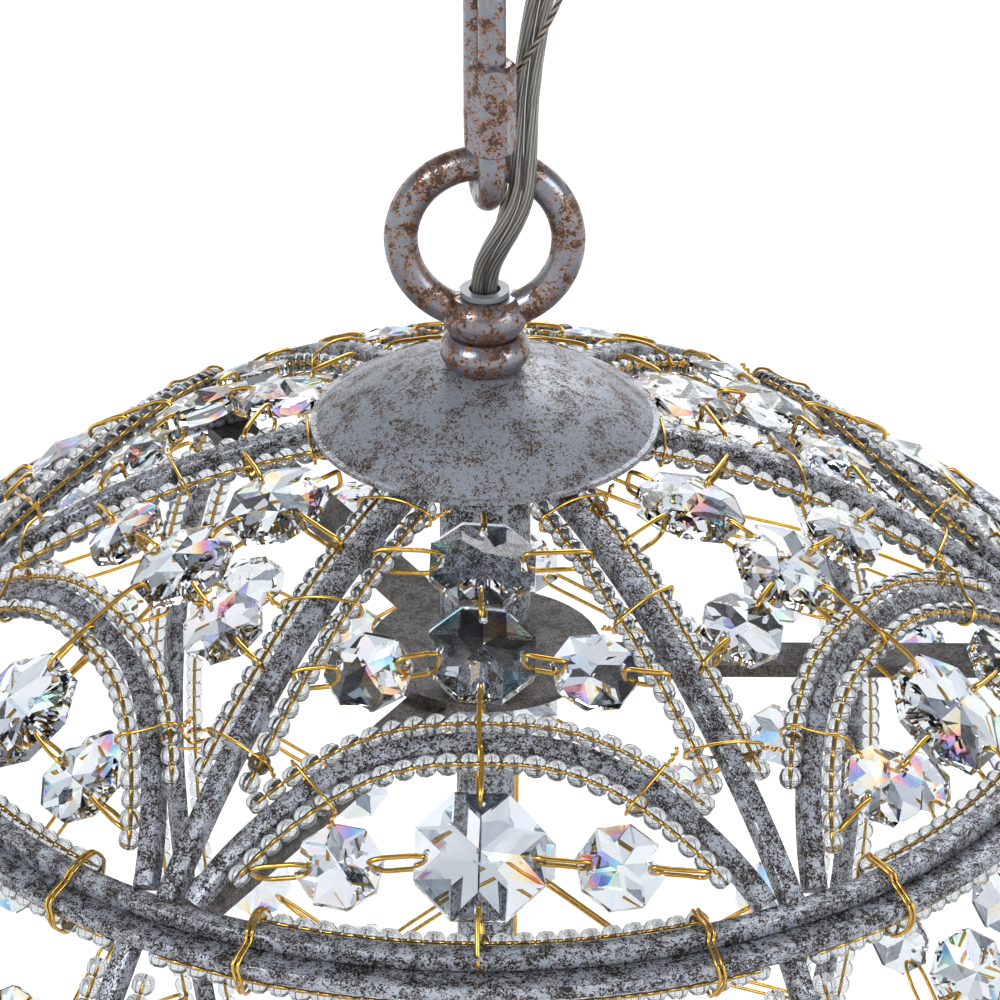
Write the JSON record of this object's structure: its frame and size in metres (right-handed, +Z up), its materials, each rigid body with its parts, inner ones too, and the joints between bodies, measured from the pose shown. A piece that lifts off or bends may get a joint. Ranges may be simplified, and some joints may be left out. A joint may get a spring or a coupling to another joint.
{
  "type": "globe pendant chandelier",
  "caption": "Globe pendant chandelier: bar and arch cage wired with clear octagons and bead strands, on an eye loop, screw link, clear cord and ceiling canopy.",
  "frame": {"origin": "on the ceiling, at the centre of the canopy and its crossbar", "axes": "+Z up, the crossbar along X, the middle of a dome panel towards -Y"},
  "size_m": [0.2888, 0.2884, 0.4356],
  "materials": {
    "antique_silver": "sponged antique silver paint with rust-brown wear, satin",
    "frame_silver": "sponged antique silver paint with dark brown speckle, satin",
    "dark_iron": "dark brown-grey antique paint, fine grain",
    "zinc_steel": "bright zinc-plated steel",
    "clear_cord": "clear PVC over tinned copper strands",
    "earth_wire": "thin twisted bare earth wire, dulled",
    "bush_plastic": "grey translucent plastic",
    "gold_wire": "gold-coloured craft wire",
    "holder_plastic": "moulded white lamp holder",
    "ivory_sleeve": "ivory candle sleeve",
    "crystal": "cut and polished clear crystal glass",
    "bead_glass": "clear seed beads threaded on gold wire",
    "lamp_glass": "clear blown lamp glass"
  },
  "bodies": {
    "ceiling_canopy": {"crossbar": "zinc_steel", "canopy_locknut": "zinc_steel", "canopy": "antique_silver", "canopy_loop": "antique_silver", "canopy_bush": "bush_plastic", "cord_upper": "clear_cord", "earth_wire_upper": "earth_wire"},
    "screw_link": {"quick_link": "antique_silver"},
    "sleeve_nut": {"link_sleeve": "antique_silver"},
    "fixture": {"cord_lower": "clear_cord", "earth_wire_lower": "earth_wire", "eye_loop": "antique_silver", "loop_collar": "antique_silver", "cap": "antique_silver", "loop_bush": "bush_plastic", "hub_nipple": "zinc_steel", "stem_tube": "dark_iron", "spider_disc": "dark_iron", "spider_spokes": "dark_iron", "lower_rod": "dark_iron", "dome_crown": "frame_silver", "dome_bars": "frame_silver", "dome_ring": "frame_silver", "dome_arch_1": "frame_silver", "dome_arch_2": "frame_silver", "dome_arch_3": "frame_silver", "dome_arch_4": "frame_silver", "dome_arch_5": "frame_silver", "dome_arch_6": "frame_silver", "basket_top_ring": "frame_silver", "basket_bar_1": "frame_silver", "basket_bar_2": "frame_silver", "basket_bar_3": "frame_silver", "basket_bar_4": "frame_silver", "basket_bar_5": "frame_silver", "basket_bar_6": "frame_silver", "basket_low_ring": "frame_silver", "basket_arches": "frame_silver", "basket_plate": "frame_silver", "finial": "frame_silver", "lamp_hub": "frame_silver", "lamp_arms": "frame_silver", "candle_cups": "frame_silver", "lamp_holders": "holder_plastic", "candle_sleeves": "ivory_sleeve", "lamps": "lamp_glass", "dome_strands": "bead_glass", "basket_strands": "bead_glass", "bottom_strands": "bead_glass", "dome_octagons_large": "crystal", "dome_octagons_medium": "crystal", "dome_octagons_small": "crystal", "basket_octagons_medium": "crystal", "basket_octagons_small": "crystal", "bottom_octagons": "crystal", "crystal_clips": "gold_wire", "frame_ties": "gold_wire"}
  },
  "joints": [
    {"name": "link_swing", "type": "hinge", "parent": "ceiling_canopy", "child": "screw_link", "pos_m": [0, 0, -0.0515], "axis": [1, 0, 0], "range_deg": [-35, 35], "deforming": ["cord_upper", "earth_wire_upper"]},
    {"name": "fixture_swing", "type": "hinge", "parent": "screw_link", "child": "fixture", "pos_m": [0, 0, -0.0933], "axis": [0, 1, 0], "range_deg": [-25, 25], "deforming": ["cord_lower", "earth_wire_lower"]},
    {"name": "sleeve_travel", "type": "slide", "parent": "screw_link", "child": "sleeve_nut", "axis": [0, 0, 1], "range_m": [0, 0.009]}
  ]
}
